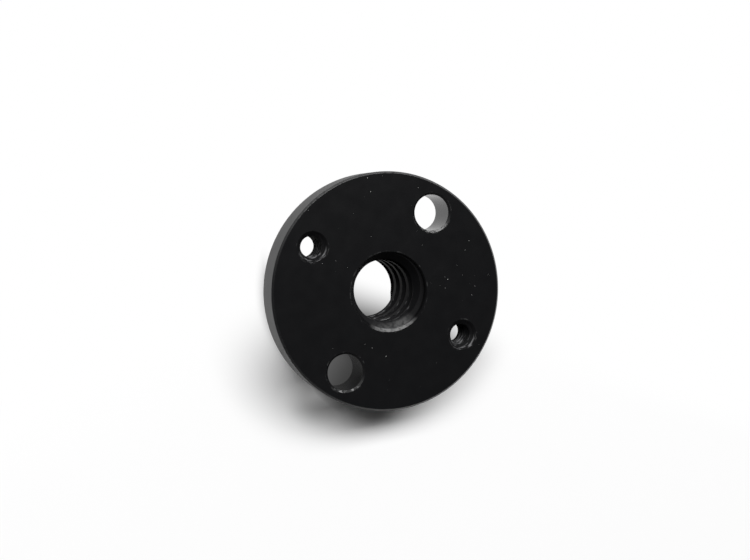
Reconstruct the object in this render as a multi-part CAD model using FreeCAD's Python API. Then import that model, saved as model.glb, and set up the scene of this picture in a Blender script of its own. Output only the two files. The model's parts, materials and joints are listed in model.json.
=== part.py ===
import FreeCAD, Part
import math
import os

from FreeCAD import Vector

# A flanged nut for a trapezoidal lead screw, machined in one piece from black acetal bar.
# The origin is on the screw's axis at the flange's seat face. +Z comes out of the flange's
# front face, +X runs through the clearance holes and +Y through the tapped holes.

# Thread: metric trapezoidal, right hand, one start, with the angle from +X at which its
# groove leaves the front face
SCREW_DIAMETER = 8.0
THREAD_PITCH = 2.0
FLANK_ANGLE = 15.0
CREST_CLEARANCE = 0.25
ROOT_CLEARANCE = 0.1
GROOVE_AT_FRONT_FACE = 10.0

# Boss and flange
BOSS_WALL = 1.9
BOSS_LENGTH = 5.0
FLANGE_THICKNESS = 4.0
EDGE_BREAK = 0.2

# Clearance holes, with the material left between a hole and the boss, and a hole and the rim
CLEARANCE_HOLE_DIAMETER = 3.8
HOLE_TO_BOSS = 1.6
HOLE_TO_RIM = 1.1

# Tapped holes for a number 4 inch screw with 40 threads to the inch, drilled to the tap's core
TAPPED_SCREW_DIAMETER = 2.84
TAPPED_SCREW_PITCH = 0.635

# Countersunk mouths, with how far each reaches past the thread behind it
THREAD_MOUTH_ANGLE = 60.0
THREAD_MOUTH_OVERSIZE = 0.1
TAPPED_MOUTH_OVERSIZE = 0.2
BEVEL_ANGLE = 90.0
BACK_MOUTH_BEVEL = 0.1

# The groove's cutter starts inside the bore, so that it leaves the crest as the drill made it
CUTTER_OVERLAP = 0.3

# Sizes that follow
CREST_RADIUS = (SCREW_DIAMETER - THREAD_PITCH) / 2 + CREST_CLEARANCE
PITCH_RADIUS = (SCREW_DIAMETER - THREAD_PITCH / 2) / 2
ROOT_RADIUS = SCREW_DIAMETER / 2 + ROOT_CLEARANCE
BOSS_RADIUS = ROOT_RADIUS + BOSS_WALL
HOLE_CIRCLE_RADIUS = BOSS_RADIUS + HOLE_TO_BOSS + CLEARANCE_HOLE_DIAMETER / 2
FLANGE_RADIUS = HOLE_CIRCLE_RADIUS + CLEARANCE_HOLE_DIAMETER / 2 + HOLE_TO_RIM
OVERALL_LENGTH = BOSS_LENGTH + FLANGE_THICKNESS
TAP_DRILL_DIAMETER = TAPPED_SCREW_DIAMETER - TAPPED_SCREW_PITCH

ORIGIN = Vector(0, 0, 0)
UP = Vector(0, 0, 1)
DOWN = Vector(0, 0, -1)
BOSS_END = Vector(0, 0, -BOSS_LENGTH)
FRONT_FACE = Vector(0, 0, FLANGE_THICKNESS)


def profile(points):
    """A closed outline in the XZ plane through (radius, height) points."""
    corners = [Vector(radius, 0, height) for radius, height in points]
    return Part.makePolygon(corners + corners[:1])


def turned_blank():
    """The flange with its boss, turned about the axis with every outer edge broken."""
    outline = profile(
        [
            (0, -BOSS_LENGTH),
            (BOSS_RADIUS - EDGE_BREAK, -BOSS_LENGTH),
            (BOSS_RADIUS, -BOSS_LENGTH + EDGE_BREAK),
            (BOSS_RADIUS, 0),
            (FLANGE_RADIUS - EDGE_BREAK, 0),
            (FLANGE_RADIUS, EDGE_BREAK),
            (FLANGE_RADIUS, FLANGE_THICKNESS - EDGE_BREAK),
            (FLANGE_RADIUS - EDGE_BREAK, FLANGE_THICKNESS),
            (0, FLANGE_THICKNESS),
        ]
    )
    return Part.Face(outline).revolve(ORIGIN, UP, 360)


def countersink(mouth, inward, radius, widening, angle):
    """The cone that opens a hole's mouth, with the full angle between its sides."""
    depth = widening / math.tan(math.radians(angle / 2))
    return Part.makeCone(radius + widening, radius, depth, mouth, inward)


def bore():
    """The drilled bore with a lead-in at the front; each half turn of its wall is one face."""
    near_half = Part.makeCylinder(CREST_RADIUS, OVERALL_LENGTH, BOSS_END, UP, 180)
    far_half = near_half.copy()
    far_half.rotate(ORIGIN, UP, 180)
    lead_in = ROOT_RADIUS + THREAD_MOUTH_OVERSIZE - CREST_RADIUS
    return [
        near_half,
        far_half,
        countersink(FRONT_FACE, DOWN, CREST_RADIUS, lead_in, THREAD_MOUTH_ANGLE),
        countersink(BOSS_END, UP, CREST_RADIUS, BACK_MOUTH_BEVEL, BEVEL_ANGLE),
    ]


def groove_half_width(radius):
    """Half the groove's width at a radius: a quarter of the pitch on the pitch line."""
    return THREAD_PITCH / 4 + (PITCH_RADIUS - radius) * math.tan(math.radians(FLANK_ANGLE))


def thread_groove():
    """The thread's groove, swept along a right-hand helix that runs out past both ends."""
    cutter_radius = CREST_RADIUS - CUTTER_OVERLAP
    outline = profile(
        [
            (cutter_radius, -groove_half_width(cutter_radius)),
            (ROOT_RADIUS, -groove_half_width(ROOT_RADIUS)),
            (ROOT_RADIUS, groove_half_width(ROOT_RADIUS)),
            (cutter_radius, groove_half_width(cutter_radius)),
        ]
    )
    turns = math.ceil(OVERALL_LENGTH / THREAD_PITCH) + 2
    straight = 0
    helix = Part.makeLongHelix(THREAD_PITCH, turns * THREAD_PITCH, PITCH_RADIUS, straight)
    groove = Part.Wire(helix.Edges).makePipeShell([outline], True, True)
    groove.translate(Vector(0, 0, FLANGE_THICKNESS - (turns - 1) * THREAD_PITCH))
    groove.rotate(ORIGIN, UP, GROOVE_AT_FRONT_FACE)
    return groove


def flange_hole(place_angle, diameter, front_widening):
    """A hole through the flange on the bolt circle, opened at the front and broken behind."""
    place = Vector(HOLE_CIRCLE_RADIUS, 0, 0)
    radius = diameter / 2
    tools = [
        Part.makeCylinder(radius, FLANGE_THICKNESS, place, UP),
        countersink(place, UP, radius, EDGE_BREAK, BEVEL_ANGLE),
        countersink(place + FRONT_FACE, DOWN, radius, front_widening, BEVEL_ANGLE),
    ]
    for tool in tools:
        tool.rotate(ORIGIN, UP, place_angle)
    return tools


def lead_screw_nut():
    """The finished nut: turned, bored, drilled on its bolt circle and threaded."""
    tapped_widening = (TAPPED_SCREW_DIAMETER - TAP_DRILL_DIAMETER) / 2 + TAPPED_MOUTH_OVERSIZE
    drilled = bore()
    for side in (0, 180):
        drilled += flange_hole(side, CLEARANCE_HOLE_DIAMETER, EDGE_BREAK)
        drilled += flange_hole(side + 90, TAP_DRILL_DIAMETER, tapped_widening)
    return turned_blank().cut(drilled).cut(thread_groove())


os.makedirs("parts", exist_ok=True)
lead_screw_nut().exportStep("parts/lead_screw_nut.step")
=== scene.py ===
import json
import math

import bpy
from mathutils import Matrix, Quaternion, Vector

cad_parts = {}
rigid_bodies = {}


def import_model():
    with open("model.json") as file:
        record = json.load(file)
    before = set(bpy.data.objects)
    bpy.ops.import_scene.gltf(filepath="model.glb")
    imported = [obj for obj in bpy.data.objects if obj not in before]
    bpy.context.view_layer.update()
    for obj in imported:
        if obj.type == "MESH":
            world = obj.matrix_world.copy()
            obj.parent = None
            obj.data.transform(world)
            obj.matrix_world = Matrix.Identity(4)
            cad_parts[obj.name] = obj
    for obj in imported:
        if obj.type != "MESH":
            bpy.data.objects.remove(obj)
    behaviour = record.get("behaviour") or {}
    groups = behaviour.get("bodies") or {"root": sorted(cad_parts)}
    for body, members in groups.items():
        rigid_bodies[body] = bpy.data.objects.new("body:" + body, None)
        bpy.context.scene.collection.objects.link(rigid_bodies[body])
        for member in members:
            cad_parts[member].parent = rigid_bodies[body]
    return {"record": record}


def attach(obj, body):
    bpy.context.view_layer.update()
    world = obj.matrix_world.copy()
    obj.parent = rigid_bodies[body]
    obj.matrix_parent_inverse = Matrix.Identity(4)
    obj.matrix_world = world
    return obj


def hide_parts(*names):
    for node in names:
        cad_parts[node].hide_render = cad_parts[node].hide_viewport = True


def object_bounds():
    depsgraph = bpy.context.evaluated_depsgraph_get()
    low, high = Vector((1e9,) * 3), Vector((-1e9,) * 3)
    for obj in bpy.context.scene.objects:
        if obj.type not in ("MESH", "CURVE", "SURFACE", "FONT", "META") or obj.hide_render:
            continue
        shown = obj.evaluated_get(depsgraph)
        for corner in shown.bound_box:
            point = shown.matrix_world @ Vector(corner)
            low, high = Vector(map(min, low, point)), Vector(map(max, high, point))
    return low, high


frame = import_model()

cad_low, cad_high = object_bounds()

# Turned blank
# The nut is turned from black acetal bar: a round flange, and behind it a short boss that
# goes through the carriage plate. The turning tool breaks every outer edge.
# It is modelled in millimetres and made metres once the thread is cut.
MM = 0.001
RIM_SIDES = 256
EDGE_BREAK = 0.2
NEAR = 0.01
mounts = {mount["name"]: mount for mount in frame["record"]["mounts"]}
flange_radius = cad_high.x / MM
front_face = cad_high.z / MM
boss_end = cad_low.z / MM
seat_face = mounts["flange_seat"]["pos_m"][2] / MM
boss_radius = mounts["boss"]["dims"]["r_mm"]


def choose(piece, kind, wanted):
    """Selects the piece's faces or edges whose vertices all pass the test, and no others."""
    bpy.ops.object.mode_set(mode="EDIT")
    bpy.ops.mesh.select_mode(type=kind)
    bpy.ops.mesh.select_all(action="DESELECT")
    bpy.ops.object.mode_set(mode="OBJECT")
    vertices = piece.data.vertices
    members = piece.data.polygons if kind == "FACE" else piece.data.edges
    for member in members:
        member.select = all(wanted(vertices[i].co) for i in member.vertices)
    bpy.ops.object.mode_set(mode="EDIT")


def at_height(height):
    """A test for vertices that lie in a level plane."""
    return lambda point: abs(point.z - height) < NEAR


bpy.ops.object.select_all(action="DESELECT")
bpy.ops.mesh.primitive_cylinder_add(
    vertices=RIM_SIDES,
    radius=flange_radius,
    depth=front_face - seat_face,
    location=(0, 0, (front_face + seat_face) / 2),
)
nut = bpy.context.object
nut.name = "machined_nut"
bpy.ops.object.transform_apply()
choose(nut, "FACE", at_height(seat_face))
bpy.ops.mesh.inset(thickness=flange_radius - boss_radius)
bpy.ops.mesh.extrude_region_move(TRANSFORM_OT_translate={"value": (0, 0, boss_end - seat_face)})
for radius, height in ((flange_radius, front_face), (flange_radius, seat_face), (boss_radius, boss_end)):
    choose(nut, "EDGE", lambda point: abs(point.z - height) < NEAR and point.xy.length > radius - NEAR)
    bpy.ops.mesh.bevel(offset=EDGE_BREAK, affect="EDGES")
bpy.ops.object.mode_set(mode="OBJECT")


def add(tree, kind, inputs=None, **settings):
    """A new node with its settings, each of the inputs linked to a socket or given a value."""
    node = tree.nodes.new(kind)
    for name, value in settings.items():
        setattr(node, name, value)
    for socket, value in (inputs or {}).items():
        if isinstance(value, bpy.types.NodeSocket):
            tree.links.new(value, node.inputs[socket])
        else:
            node.inputs[socket].default_value = value
    return node


def math_of(tree, operation, *values):
    """The outcome of a sum on values or sockets."""
    return add(tree, "ShaderNodeMath", dict(enumerate(values)), operation=operation).outputs[0]


def vector_of(tree, operation, *vectors):
    """The vector that a sum on vectors gives."""
    return add(tree, "ShaderNodeVectorMath", dict(enumerate(vectors)), operation=operation).outputs["Vector"]


def number_of(tree, operation, *vectors):
    """The number that a sum on vectors gives, such as a length or a distance."""
    return add(tree, "ShaderNodeVectorMath", dict(enumerate(vectors)), operation=operation).outputs["Value"]


def fade(tree, value, low, high, start=0, end=1):
    """A soft passage from the start to the end, as the value goes from low to high."""
    reach = {"Value": value, "From Min": low, "From Max": high, "To Min": start, "To Max": end}
    return add(tree, "ShaderNodeMapRange", reach, interpolation_type="SMOOTHSTEP").outputs[0]


def blend(tree, share, first, second):
    """The first colour where the share is 0, the second where it is 1."""
    return add(tree, "ShaderNodeMix", {0: share, 6: first, 7: second}, data_type="RGBA").outputs[2]


def noise(tree, place, scale, detail):
    """Cloudy values, as many to the millimetre as the scale says."""
    return add(tree, "ShaderNodeTexNoise", {"Vector": place, "Scale": scale, "Detail": detail}).outputs[0]


def new_group(name, inputs, outputs):
    """An empty shader group, with the nodes that stand for its inputs and outputs."""
    group = bpy.data.node_groups.new(name, "ShaderNodeTree")
    for socket, kind in inputs.items():
        group.interface.new_socket(name=socket, in_out="INPUT", socket_type=kind)
    for socket, kind in outputs.items():
        group.interface.new_socket(name=socket, in_out="OUTPUT", socket_type=kind)
    return group, add(group, "NodeGroupInput").outputs, add(group, "NodeGroupOutput")


def places(tree):
    """Places in millimetres: whole, by axis, without height, and how far from the nut's axis."""
    place = add(tree, "ShaderNodeTexCoord").outputs["Object"]
    place = add(tree, "ShaderNodeVectorMath", {0: place, "Scale": 1 / MM}, operation="SCALE").outputs[0]
    axes = add(tree, "ShaderNodeSeparateXYZ", {0: place}).outputs
    level = add(tree, "ShaderNodeCombineXYZ", {"X": axes["X"], "Y": axes["Y"]}).outputs[0]
    return place, axes, level, number_of(tree, "LENGTH", level)


def direction(azimuth, elevation=0):
    """The unit vector at an angle about the nut's axis from +X, and an angle above the level plane."""
    level = math.cos(elevation)
    return Vector((level * math.cos(azimuth), level * math.sin(azimuth), math.sin(elevation)))


# Plastic grain: a fine unevenness, and slow changes of shade from place to place
SHADE_PATCHES = 0.7
grain, given, result = new_group(
    "plastic_grain",
    {"Place": "NodeSocketVector", "Grains": "NodeSocketFloat"},
    {"Height": "NodeSocketFloat", "Shade": "NodeSocketFloat"},
)
grain.links.new(noise(grain, given["Place"], given["Grains"], detail=3), result.inputs["Height"])
grain.links.new(noise(grain, given["Place"], SHADE_PATCHES, detail=4), result.inputs["Shade"])

# Worn and glinting edges: bevels get pale ragged worn flecks, but only those facing the lamp, so they are
# also a painted glint
LIT_SIDE = direction(math.radians(40))
BEVEL_SLOPE = 0.6
BEVEL_SLOPE_SPREAD = 0.25
flecks_and_glints, given, result = new_group(
    "worn_and_glinting_edges",
    {
        "Place": "NodeSocketVector",
        "Flecks": "NodeSocketFloat",
        "Bare": "NodeSocketFloat",
        "Full": "NodeSocketFloat",
        "Turned away": "NodeSocketFloat",
        "Turned to": "NodeSocketFloat",
    },
    {"Mask": "NodeSocketFloat"},
)
normal = add(flecks_and_glints, "ShaderNodeNewGeometry").outputs["Normal"]
facing = number_of(flecks_and_glints, "DOT_PRODUCT", normal, LIT_SIDE)
facing = fade(flecks_and_glints, facing, given["Turned away"], given["Turned to"])
slope = add(flecks_and_glints, "ShaderNodeSeparateXYZ", {0: normal}).outputs["Z"]
sloped = math_of(flecks_and_glints, "COMPARE", slope, BEVEL_SLOPE, BEVEL_SLOPE_SPREAD)
ragged = noise(flecks_and_glints, given["Place"], given["Flecks"], detail=4)
ragged = fade(flecks_and_glints, ragged, given["Bare"], given["Full"])
mask = math_of(flecks_and_glints, "MULTIPLY", math_of(flecks_and_glints, "MULTIPLY", facing, sloped), ragged)
flecks_and_glints.links.new(mask, result.inputs["Mask"])

# Turned acetal: satin black on every outer face and in the plain holes
BLACK = (0.0052, 0.0053, 0.0058, 1)
BLACK_WORN = (0.0067, 0.0068, 0.0073, 1)
# Pale: worn flecks, painted glints and painted highlights
SCUFF_AND_HIGHLIGHT = (0.22, 0.22, 0.22, 1)
ACETAL_IOR = 1.48
turned = bpy.data.materials.new("turned_acetal")
turned.use_nodes = True
tree = turned.node_tree
finish = tree.nodes["Principled BSDF"]
finish.inputs["IOR"].default_value = ACETAL_IOR
place, axes, level, from_axis = places(tree)
normal = add(tree, "ShaderNodeNewGeometry").outputs["Normal"]
normal_up = add(tree, "ShaderNodeSeparateXYZ", {0: normal}).outputs["Z"]
skin = add(tree, "ShaderNodeGroup", {"Place": place, "Grains": 22}, node_tree=grain).outputs
colour = blend(tree, skin["Shade"], BLACK, BLACK_WORN)

# The tool's feed leaves fine rings on the faces and fine lines round the rim
FEED = 0.08
WAVES_IN_SCALE = 20 / math.tau
GRAIN_TO_CUTS = 0.6
CUT_DEPTH = 0.0008 * MM
feed = math_of(tree, "ADD", from_axis, axes["Z"])
feed_place = add(tree, "ShaderNodeCombineXYZ", {"X": feed}).outputs[0]
cuts = add(tree, "ShaderNodeTexWave", {"Vector": feed_place, "Scale": 1 / FEED / WAVES_IN_SCALE})
uneven = add(tree, "ShaderNodeTexNoise", {"W": feed, "Scale": 5, "Detail": 3}, noise_dimensions="1D")
marks = math_of(tree, "MULTIPLY", cuts.outputs["Fac"], uneven.outputs[0])
height = math_of(tree, "MULTIPLY_ADD", skin["Height"], GRAIN_TO_CUTS, marks)
relief = add(tree, "ShaderNodeBump", {"Height": height, "Strength": 1, "Distance": CUT_DEPTH})
tree.links.new(relief.outputs[0], finish.inputs["Normal"])

# The rim is rougher than the faces and the drilled holes
FACE_ROUGHNESS = 0.18
RIM_ROUGHER = 0.31
WORN_ROUGHER = 0.06
RIM_BEVEL_SHARE = 0.25
WALL_TO_BEVEL_NORMAL = (0.2, 0.6)
RIM_INSIDE = (0.3, 0.1)
on_rim = fade(tree, from_axis, *(flange_radius - inside for inside in RIM_INSIDE))
upright = math_of(tree, "ABSOLUTE", normal_up)
upright = fade(tree, upright, *WALL_TO_BEVEL_NORMAL, 1, RIM_BEVEL_SHARE)
rim_wall = math_of(tree, "MULTIPLY", on_rim, upright)
roughness = math_of(tree, "MULTIPLY_ADD", rim_wall, RIM_ROUGHER, FACE_ROUGHNESS)
roughness = math_of(tree, "MULTIPLY_ADD", skin["Shade"], WORN_ROUGHER, roughness)
tree.links.new(roughness, finish.inputs["Roughness"])

# The bevels' worn flecks and painted glints are strongest at +X, on the lamp's side, and on the rim only a
# little
LAMP_SIDE_ACROSS = (-8, 8)
BARE_BELOW = (0.46, 0.34)
FULL_ABOVE = (0.68, 0.52)
RIM_WORN_AND_LIT = 0.12
wear_and_glints = add(
    tree,
    "ShaderNodeGroup",
    {
        "Place": place,
        "Flecks": 3,
        "Bare": fade(tree, axes["X"], *LAMP_SIDE_ACROSS, *BARE_BELOW),
        "Full": fade(tree, axes["X"], *LAMP_SIDE_ACROSS, *FULL_ABOVE),
        "Turned away": 0.4,
        "Turned to": 0.68,
    },
    node_tree=flecks_and_glints,
)
worn_and_lit = math_of(tree, "MULTIPLY", wear_and_glints.outputs["Mask"], fade(tree, on_rim, 0, 1, 1, RIM_WORN_AND_LIT))

# Painted glint: the front face is pale in a fine broken line just outside every hole's mouth
hole_circle_radius = mounts["clearance_holes"]["dims"]["pcd_mm"] / 2
GLINT_RINGS = (
    ((0, 0, 0), 4.26),
    ((hole_circle_radius, 0, 0), 2.16),
    ((0, hole_circle_radius, 0), 1.68),
)
RING_GLINT = 0.16
RING_GLINT_WIDTH = (0.02, 0.09)
RING_GLINT_STRETCHES = (0.5, 0.68)
FRONT_NORMAL = 0.8
on_front = math_of(tree, "GREATER_THAN", normal_up, FRONT_NORMAL)
quarter = vector_of(tree, "ABSOLUTE", level)
from_ring = flange_radius
for ring_place, ring_radius in GLINT_RINGS:
    past = math_of(tree, "SUBTRACT", number_of(tree, "DISTANCE", quarter, ring_place), ring_radius)
    from_ring = math_of(tree, "MINIMUM", from_ring, math_of(tree, "ABSOLUTE", past))
broken = add(tree, "ShaderNodeTexNoise", {"Vector": place, "Scale": 1.1, "Detail": 5, "Roughness": 0.7})
broken = fade(tree, broken.outputs[0], *RING_GLINT_STRETCHES)
ring_glint = math_of(tree, "MULTIPLY", fade(tree, from_ring, *RING_GLINT_WIDTH, RING_GLINT, 0), broken)
ring_glint = math_of(tree, "MULTIPLY", ring_glint, on_front)
colour = blend(tree, math_of(tree, "MAXIMUM", worn_and_lit, ring_glint), colour, SCUFF_AND_HIGHLIGHT)

# White dust lies on the front face, most of it in two places
DUST = (0.36, 0.36, 0.35, 1)
DUST_CELL = 1.0
DUST_PLACES = (((4.8, -5.8, 0), 0.55), ((5.0, 7.6, 0), 0.25))
DUST_SPREAD = (1.2, 4.0)
DUST_ELSEWHERE = 0.07
SPECK_RAGGED = (0.07, 0.07, 0)
SPECK_RADIUS = 0.014
SPECK_LARGER = 0.032
FEW_LARGE = 5
ragged = add(tree, "ShaderNodeTexNoise", {"Vector": place, "Scale": 14, "Detail": 1}).outputs["Color"]
ragged = vector_of(tree, "MULTIPLY_ADD", ragged, SPECK_RAGGED, level)
cells = add(
    tree, "ShaderNodeTexVoronoi", {"Vector": ragged, "Scale": 1 / DUST_CELL}, voronoi_dimensions="2D"
).outputs
chance = add(tree, "ShaderNodeSeparateColor", {0: cells["Color"]}).outputs
dusty = 0
for dust_place, dust_share in DUST_PLACES:
    away = number_of(tree, "DISTANCE", level, dust_place)
    share = fade(tree, away, *DUST_SPREAD, dust_share, DUST_ELSEWHERE)
    dusty = math_of(tree, "MAXIMUM", dusty, share)
larger = math_of(tree, "POWER", chance["Green"], FEW_LARGE)
speck_radius = math_of(tree, "MULTIPLY_ADD", larger, SPECK_LARGER, SPECK_RADIUS)
speck = math_of(tree, "LESS_THAN", cells["Distance"], speck_radius)
dust = math_of(tree, "MULTIPLY", math_of(tree, "LESS_THAN", chance["Red"], dusty), speck)
colour = blend(tree, math_of(tree, "MULTIPLY", dust, on_front), colour, DUST)
tree.links.new(colour, finish.inputs["Base Color"])
nut.data.materials.append(turned)

# Plain holes
# Two holes are drilled through the flange, across from each other, for the screws that pass
# through it. Each mouth has the same small bevel as the flange's rim.
HOLE_SIDES = 128
PAST_FACE = 0.5
BEVEL_GRADIENT = 1
plain_radius = mounts["clearance_holes"]["dims"]["hole_r_mm"]


def drill(name, radius, low, low_bevel, high, high_bevel, high_gradient):
    """A drill's cutting shape on the axis, flared at both ends for the bevelled mouths."""
    high_depth = high_bevel / high_gradient
    bpy.ops.object.select_all(action="DESELECT")
    bpy.ops.mesh.primitive_cylinder_add(
        vertices=HOLE_SIDES,
        radius=radius,
        depth=high - high_depth - low - low_bevel,
        location=(0, 0, (high - high_depth + low + low_bevel) / 2),
    )
    cutter = bpy.context.object
    cutter.name = name
    bpy.ops.object.transform_apply()
    for height, reach, gradient in (
        (high - high_depth, high_depth + PAST_FACE, high_gradient),
        (low + low_bevel, -low_bevel - PAST_FACE, BEVEL_GRADIENT),
    ):
        choose(cutter, "FACE", at_height(height))
        bpy.ops.mesh.extrude_region_move(TRANSFORM_OT_translate={"value": (0, 0, reach)})
        wide = 1 + abs(reach) * gradient / radius
        bpy.ops.transform.resize(value=(wide, wide, 1), center_override=(0, 0, 0))
        bpy.ops.object.mode_set(mode="OBJECT")
    return cutter


def put_in_tools(cutter, location, material):
    """Makes a place part of the cutter's mesh, and keeps the cutter for the one cut at the end."""
    cutter.location = location
    bpy.ops.object.transform_apply()
    cutter.data.materials.append(material)
    tools.objects.link(cutter)


tools = bpy.data.collections.new("tools")
bpy.context.scene.collection.children.link(tools)
for side in (1, -1):
    plain_drill = drill(
        "plain_drill", plain_radius, seat_face, EDGE_BREAK, front_face, EDGE_BREAK, BEVEL_GRADIENT
    )
    put_in_tools(plain_drill, (side * hole_circle_radius, 0, 0), turned)

# Tapped holes
# Two smaller holes, a quarter turn from the plain ones, are countersunk at the front and
# tapped with a fine thread, so that screws hold in the plastic itself.
TAP_PITCH = 0.635
TAP_DEPTH = 0.3175
TAP_GROOVE = 0.476
TAP_FLANK = math.tan(math.radians(30))
TAP_CREST_BREAK = 0.02
TAP_OVERLAP = 0.04
TAP_STEPS = 64
TAP_TURNS_BELOW = 2
TAP_TURNS_ABOVE = 2
TAP_COUNTERSINK = 0.5175
core_radius = mounts["tapped_holes"]["dims"]["hole_r_mm"]


def tap(name, radius, depth, width, flank, crest_break, overlap, pitch, turns, steps):
    """A tap's cutting shape: a groove's outline, coiled right-handed about the axis from z = 0."""
    neck = radius + crest_break
    neck_width = width - 2 * crest_break * flank
    bpy.ops.object.select_all(action="DESELECT")
    bpy.ops.mesh.primitive_plane_add(size=1, rotation=(math.pi / 2, 0, 0))
    cutter = bpy.context.object
    cutter.name = name
    cutter.scale = (depth - crest_break, neck_width, 1)
    cutter.location.x = (neck + radius + depth) / 2
    bpy.ops.object.transform_apply()
    choose(cutter, "EDGE", lambda point: point.x > neck + NEAR)
    root_width = width - 2 * depth * flank
    bpy.ops.transform.resize(value=(1, 1, root_width / neck_width), center_override=(0, 0, 0))
    choose(cutter, "EDGE", lambda point: point.x < neck + NEAR)
    reach = crest_break + overlap
    bpy.ops.mesh.extrude_edges_move(TRANSFORM_OT_translate={"value": (-reach, 0, 0)})
    bpy.ops.transform.resize(value=(1, 1, 1 + 2 * reach / neck_width), center_override=(0, 0, 0))
    choose(cutter, "EDGE", lambda point: abs(point.x - neck) < NEAR)
    bpy.ops.mesh.delete(type="EDGE_FACE")
    bpy.ops.object.mode_set(mode="OBJECT")
    coil = cutter.modifiers.new("coil", "SCREW")
    coil.axis = "Z"
    coil.angle = math.tau
    coil.screw_offset = pitch
    coil.iterations = turns
    coil.steps = steps
    coil.render_steps = steps
    coil.use_normal_flip = True
    bpy.ops.object.modifier_apply(modifier=coil.name)
    bpy.ops.object.mode_set(mode="EDIT")
    bpy.ops.mesh.select_all(action="SELECT")
    bpy.ops.mesh.fill_holes(sides=6)
    bpy.ops.object.mode_set(mode="OBJECT")
    return cutter


# Tapped acetal: duller than the turned faces, with pale flecks drawn out along the thread as painted glints
TAPPED_BLACK = (0.003, 0.003, 0.0035, 1)
TAPPED_WORN = (0.005, 0.005, 0.0055, 1)
# Pale worn flecks on the edges that face the lamp: painted glints on crests and countersinks
EDGE_GLINT_GREY = (0.16, 0.16, 0.165, 1)
TAPPED_GLOSS = 0.12
TAPPED_ROUGHNESS = 0.6
TAPPED_WORN_ROUGHER = 0.2
TAPPED_GRAIN_DEPTH = 0.006 * MM
ALONG_THREAD = (0.8, 0.8, 6)
tapped = bpy.data.materials.new("tapped_acetal")
tapped.use_nodes = True
tree = tapped.node_tree
finish = tree.nodes["Principled BSDF"]
finish.inputs["IOR"].default_value = ACETAL_IOR
finish.inputs["Specular IOR Level"].default_value = TAPPED_GLOSS
place, axes, level, from_axis = places(tree)
skin = add(tree, "ShaderNodeGroup", {"Place": place, "Grains": 12}, node_tree=grain).outputs
colour = blend(tree, skin["Shade"], TAPPED_BLACK, TAPPED_WORN)
relief = add(
    tree, "ShaderNodeBump", {"Height": skin["Height"], "Strength": 1, "Distance": TAPPED_GRAIN_DEPTH}
)
tree.links.new(relief.outputs[0], finish.inputs["Normal"])
roughness = math_of(tree, "MULTIPLY_ADD", skin["Shade"], TAPPED_WORN_ROUGHER, TAPPED_ROUGHNESS)
tree.links.new(roughness, finish.inputs["Roughness"])
wear_and_glints = add(
    tree,
    "ShaderNodeGroup",
    {
        "Place": vector_of(tree, "MULTIPLY", place, ALONG_THREAD),
        "Flecks": 1.5,
        "Bare": 0.46,
        "Full": 0.68,
        "Turned away": 0,
        "Turned to": 0.6,
    },
    node_tree=flecks_and_glints,
)

# Painted highlight: pale streaks on the side of the bore's lead-in that faces the lamp, most of all at its
# edge
LEAD_IN_RADIUS = 4.5
LEAD_IN_FROM = (2.3, 2.5)
LEAD_IN_HIGHLIGHT_SIDE = direction(math.radians(219))
LEAD_IN_HIGHLIGHT_SPREAD = (0.74, 1)
LEAD_IN_HIGHLIGHT_FROM = (2.3, 3.7)
DOWN_THE_CONE = (1, 1, 0.15)
STREAKS = (0.3, 0.62)
STREAK_STRENGTH = (0.35, 1.15)
in_bore = math_of(tree, "LESS_THAN", from_axis, LEAD_IN_RADIUS)
in_mouth = math_of(tree, "MULTIPLY", fade(tree, axes["Z"], *LEAD_IN_FROM), in_bore)
# Painted glints: pale worn flecks on the edges that face the lamp, outside the lead-in
edges = math_of(tree, "MULTIPLY", wear_and_glints.outputs["Mask"], math_of(tree, "SUBTRACT", 1, in_mouth))
colour = blend(tree, edges, colour, EDGE_GLINT_GREY)
across = number_of(tree, "DOT_PRODUCT", vector_of(tree, "NORMALIZE", level), LEAD_IN_HIGHLIGHT_SIDE)
lead_in_highlight = math_of(tree, "MULTIPLY", fade(tree, across, *LEAD_IN_HIGHLIGHT_SPREAD), in_mouth)
lead_in_highlight = math_of(tree, "MULTIPLY", lead_in_highlight, fade(tree, axes["Z"], *LEAD_IN_HIGHLIGHT_FROM))
streaks = noise(tree, vector_of(tree, "MULTIPLY", place, DOWN_THE_CONE), scale=2.6, detail=2)
lead_in_highlight = math_of(tree, "MULTIPLY", lead_in_highlight, fade(tree, streaks, *STREAKS, *STREAK_STRENGTH))
colour = blend(tree, lead_in_highlight, colour, SCUFF_AND_HIGHLIGHT)
tree.links.new(colour, finish.inputs["Base Color"])

tap_turns = math.ceil((front_face - seat_face) / TAP_PITCH) + TAP_TURNS_BELOW + TAP_TURNS_ABOVE
for side in (1, -1):
    hole_place = Vector((0, side * hole_circle_radius, seat_face))
    tap_drill = drill(
        "tap_drill", core_radius, seat_face, EDGE_BREAK, front_face, TAP_COUNTERSINK, BEVEL_GRADIENT
    )
    put_in_tools(tap_drill, hole_place, tapped)
    fine_tap = tap(
        "fine_tap",
        radius=core_radius,
        depth=TAP_DEPTH,
        width=TAP_GROOVE,
        flank=TAP_FLANK,
        crest_break=TAP_CREST_BREAK,
        overlap=TAP_OVERLAP,
        pitch=TAP_PITCH,
        turns=tap_turns,
        steps=TAP_STEPS,
    )
    put_in_tools(fine_tap, hole_place - Vector((0, 0, TAP_TURNS_BELOW * TAP_PITCH)), tapped)

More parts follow.
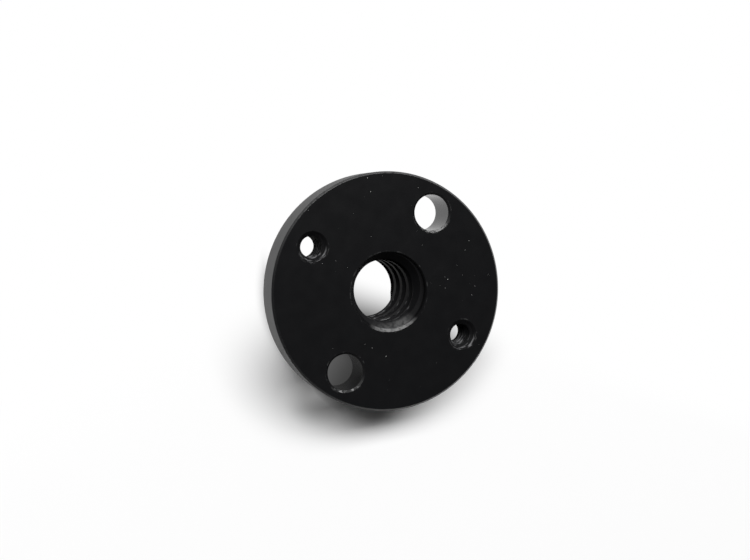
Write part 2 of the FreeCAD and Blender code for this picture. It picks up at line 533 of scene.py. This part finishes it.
# Lead screw thread
# The bore carries a coarse right-hand trapezoidal thread with flat crests, cut through boss
# and flange. A long lead-in cone opens its front mouth, and the back mouth is just broken.
THREAD_PITCH = 2.0
THREAD_DEPTH = 0.85
THREAD_GROOVE = 1.134
THREAD_FLANK = math.tan(math.radians(15))
THREAD_STEPS = 192
THREAD_CREST_BREAK = 0.07
THREAD_OVERLAP = 0.2
THREAD_TURNS_ABOVE = 1
THREAD_TURNS_BELOW = 1
GROOVE_AT_FRONT_FACE = math.radians(10)
LEAD_IN_WIDENING = 0.95
LEAD_IN_GRADIENT = math.tan(math.radians(30))
BACK_BEVEL = 0.1
SMOOTH_BELOW = math.radians(25)
crest_radius = mounts["screw_thread"]["dims"]["r_mm"]

bore_drill = drill(
    "bore_drill", crest_radius, boss_end, BACK_BEVEL, front_face, LEAD_IN_WIDENING, LEAD_IN_GRADIENT
)
put_in_tools(bore_drill, (0, 0, 0), tapped)
thread_turns = math.ceil((front_face - boss_end) / THREAD_PITCH) + THREAD_TURNS_BELOW + THREAD_TURNS_ABOVE
thread_tap = tap(
    "thread_tap",
    radius=crest_radius,
    depth=THREAD_DEPTH,
    width=THREAD_GROOVE,
    flank=THREAD_FLANK,
    crest_break=THREAD_CREST_BREAK,
    overlap=THREAD_OVERLAP,
    pitch=THREAD_PITCH,
    turns=thread_turns,
    steps=THREAD_STEPS,
)
thread_tap.rotation_euler.z = GROOVE_AT_FRONT_FACE
thread_start = front_face - (thread_turns - THREAD_TURNS_ABOVE) * THREAD_PITCH
put_in_tools(thread_tap, (0, 0, thread_start), tapped)

removal = nut.modifiers.new("removal", "BOOLEAN")
removal.operation = "DIFFERENCE"
removal.operand_type = "COLLECTION"
removal.collection = tools
removal.solver = "EXACT"
removal.material_mode = "TRANSFER"
bpy.ops.object.select_all(action="DESELECT")
bpy.context.view_layer.objects.active = nut
bpy.ops.object.modifier_apply(modifier=removal.name)
for cutter in list(tools.objects):
    bpy.data.objects.remove(cutter)
bpy.data.collections.remove(tools)

nut.select_set(True)
nut.scale = (MM, MM, MM)
bpy.ops.object.transform_apply()
bpy.ops.object.shade_smooth_by_angle(angle=SMOOTH_BELOW)

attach(nut, "root")
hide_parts("lead_screw_nut")

# Camera
# It looks down on the front face from the photograph's side, rolled so that the plain holes
# run from lower left to upper right.
VIEW_TARGET = Vector((0.305 * MM, 2.006 * MM, cad_high.z))
VIEW_DISTANCE = 108.845 * MM
VIEW_AZIMUTH = math.radians(109.225)
VIEW_ELEVATION = math.radians(71.108)
VIEW_ROLL = math.radians(100.183)
VIEW_LENS = 50.525
NEAREST_SEEN = 1 * MM
towards_camera = direction(VIEW_AZIMUTH, VIEW_ELEVATION)
bpy.ops.object.camera_add(location=VIEW_TARGET + towards_camera * VIEW_DISTANCE)
camera = bpy.context.object
camera.rotation_mode = "QUATERNION"
camera.rotation_quaternion = (-towards_camera).to_track_quat("-Z", "Y") @ Quaternion((0, 0, 1), VIEW_ROLL)
camera.data.lens = VIEW_LENS
camera.data.clip_start = NEAREST_SEEN
bpy.context.scene.camera = camera

# Floor
# A plain white sheet that keeps the nut's shadow. To the eye it glows white past the nut's middle,
# at its left and far away, as in front of a bright backdrop: painted light over its shadow there. Painted
# shade dims it inside the bore and about the lower plain hole, which look onto the shaded side.
FLOOR_SIZE = 1.2
FLOOR_ALBEDO = 0.9
BACK_GLOW_SIDE = (1, 0.2, 0)
BACK_GLOW = (-4.35 * MM, 1.1 * MM)
LEFT_GLOW_SIDE = (0.62, 0.79, 0)
LEFT_GLOW = (-7 * MM, 4 * MM)
LEFT_GLOW_PAST = (10.5 * MM, 12.5 * MM)
FAR_GLOW = (70 * MM, 200 * MM)
SHADE_ACROSS = (-4 * MM, 0)
SHADE = (0.05, 0.105)
SHADED_PLACES = (
    ((0, 0, 0), 5 * MM, 5.5 * MM, 1),
    ((-10.2 * MM, -2.4 * MM, 0), 1.8 * MM, 4.6 * MM, 1),
    ((-13 * MM, -1.2 * MM, 0), 0.8 * MM, 4.2 * MM, 0.55),
)
bpy.ops.mesh.primitive_plane_add(size=FLOOR_SIZE, location=(0, 0, cad_low.z))
floor = bpy.context.object
floor.name = "floor"
paper = bpy.data.materials.new("white_paper")
paper.use_nodes = True
tree = paper.node_tree
tree.nodes.remove(tree.nodes["Principled BSDF"])
surface = add(tree, "ShaderNodeBsdfDiffuse", {"Color": (FLOOR_ALBEDO, FLOOR_ALBEDO, FLOOR_ALBEDO, 1)})
place = add(tree, "ShaderNodeTexCoord").outputs["Object"]
from_nut = number_of(tree, "LENGTH", place)
back_glow = fade(tree, number_of(tree, "DOT_PRODUCT", place, BACK_GLOW_SIDE), *BACK_GLOW)
left_glow = fade(tree, number_of(tree, "DOT_PRODUCT", place, LEFT_GLOW_SIDE), *LEFT_GLOW)
left_glow = math_of(tree, "MULTIPLY", left_glow, fade(tree, from_nut, *LEFT_GLOW_PAST))
glow = math_of(tree, "MAXIMUM", back_glow, left_glow)
glow = math_of(tree, "MAXIMUM", glow, fade(tree, from_nut, *FAR_GLOW))
white = add(tree, "ShaderNodeEmission")
# Painted shade: dim patches on the floor to the eye, darker towards -Y
shaded = 0
for centre, inner, outer, depth in SHADED_PLACES:
    away = number_of(tree, "DISTANCE", place, centre)
    shaded = math_of(tree, "MAXIMUM", shaded, fade(tree, away, inner, outer, depth, 0))
shade = add(tree, "ShaderNodeSeparateXYZ", {0: place}).outputs["Y"]
shade = fade(tree, shade, *SHADE_ACROSS, *SHADE)
dim = add(tree, "ShaderNodeEmission")
strength = add(tree, "ShaderNodeMix", {0: back_glow, 2: shade, 3: 1}).outputs[0]
tree.links.new(strength, dim.inputs["Strength"])
rays = add(tree, "ShaderNodeLightPath").outputs
seen = math_of(tree, "MAXIMUM", rays["Is Camera Ray"], rays["Is Glossy Ray"])
seen = math_of(tree, "MAXIMUM", seen, rays["Is Transmission Ray"])
for share, cover in ((glow, white), (shaded, dim)):
    share = math_of(tree, "MULTIPLY", share, seen)
    surface = add(tree, "ShaderNodeMixShader", {"Fac": share, 1: surface.outputs[0], 2: cover.outputs[0]})
tree.links.new(surface.outputs[0], tree.nodes["Material Output"].inputs["Surface"])
floor.data.materials.append(paper)

# Light
# One soft lamp from the upper left, in a studio with a dark ceiling. Its walls give a little
# light, and glossy faces mirror a white back wall and dim sides.
LAMP_AZIMUTH = math.radians(36.7)
LAMP_ELEVATION = math.radians(63.5)
LAMP_DISTANCE = 1.6
LAMP_WIDTH = 1.87
LAMP_DEPTH = 0.36
LAMP_POWER = 37
CEILING_ENDS = (math.cos(math.radians(35)), math.cos(math.radians(65)))
WALL_LIGHT = 0.11
BACK_WALL = direction(math.radians(15))
BACK_WALL_SPREAD = (-0.3, 0.6)
SIDE_TO_BACK_WALL = (0.1, 1)
bpy.ops.object.light_add(type="AREA", location=direction(LAMP_AZIMUTH, LAMP_ELEVATION) * LAMP_DISTANCE)
lamp = bpy.context.object
lamp.data.shape = "RECTANGLE"
lamp.data.size = LAMP_WIDTH
lamp.data.size_y = LAMP_DEPTH
lamp.data.energy = LAMP_POWER
lamp.rotation_mode = "QUATERNION"
lamp.rotation_quaternion = (-lamp.location).to_track_quat("-Z", "Y")

world = bpy.data.worlds.new("studio")
world.use_nodes = True
tree = world.node_tree
backdrop = tree.nodes["Background"]
backdrop.inputs["Color"].default_value = (1, 1, 1, 1)
way = add(tree, "ShaderNodeTexCoord").outputs["Generated"]
up = add(tree, "ShaderNodeSeparateXYZ", {0: way}).outputs["Z"]
walls = fade(tree, up, *CEILING_ENDS)
rays = add(tree, "ShaderNodeLightPath").outputs
mirrored = math_of(tree, "MAXIMUM", rays["Is Glossy Ray"], rays["Is Transmission Ray"])
behind = number_of(tree, "DOT_PRODUCT", way, BACK_WALL)
mirrored = math_of(tree, "MULTIPLY", mirrored, fade(tree, behind, *BACK_WALL_SPREAD, *SIDE_TO_BACK_WALL))
walls = math_of(tree, "MULTIPLY", walls, math_of(tree, "MAXIMUM", mirrored, WALL_LIGHT))
walls = math_of(tree, "MAXIMUM", walls, rays["Is Camera Ray"])
tree.links.new(walls, backdrop.inputs["Strength"])
bpy.context.scene.world = world
bpy.context.scene.view_settings.view_transform = "Standard"
